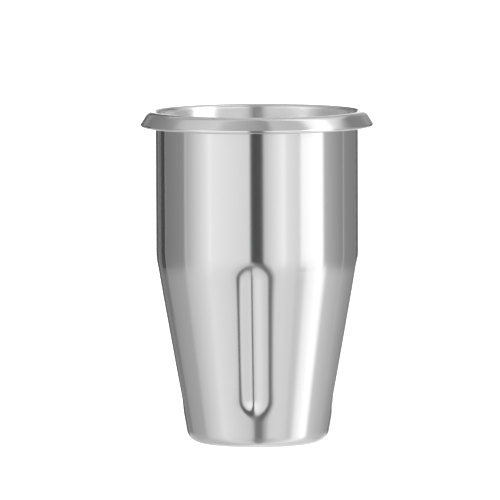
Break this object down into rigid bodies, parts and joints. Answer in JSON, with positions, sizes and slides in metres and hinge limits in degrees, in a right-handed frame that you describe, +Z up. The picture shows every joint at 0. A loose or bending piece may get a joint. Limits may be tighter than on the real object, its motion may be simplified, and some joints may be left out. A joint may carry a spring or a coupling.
{
  "type": "drink mixing cup",
  "caption": "Tall deep drawn steel cup for mixing drinks: straight upper body, tapered lower body with pressed grip flutes, and a sloping out-turned lip with a curled edge.",
  "frame": {"origin": "middle of the foot, on the surface that the cup stands on", "axes": "+Z up along the cup's axis; the pressed flutes face +X, -X, +Y and -Y, and the pictured side faces -Y"},
  "size_m": [0.115, 0.115, 0.1638],
  "materials": {
    "steel": "satin stainless steel, finely brushed round the cup"
  },
  "bodies": {
    "root": {"mixing_cup": "steel"}
  },
  "joints": []
}
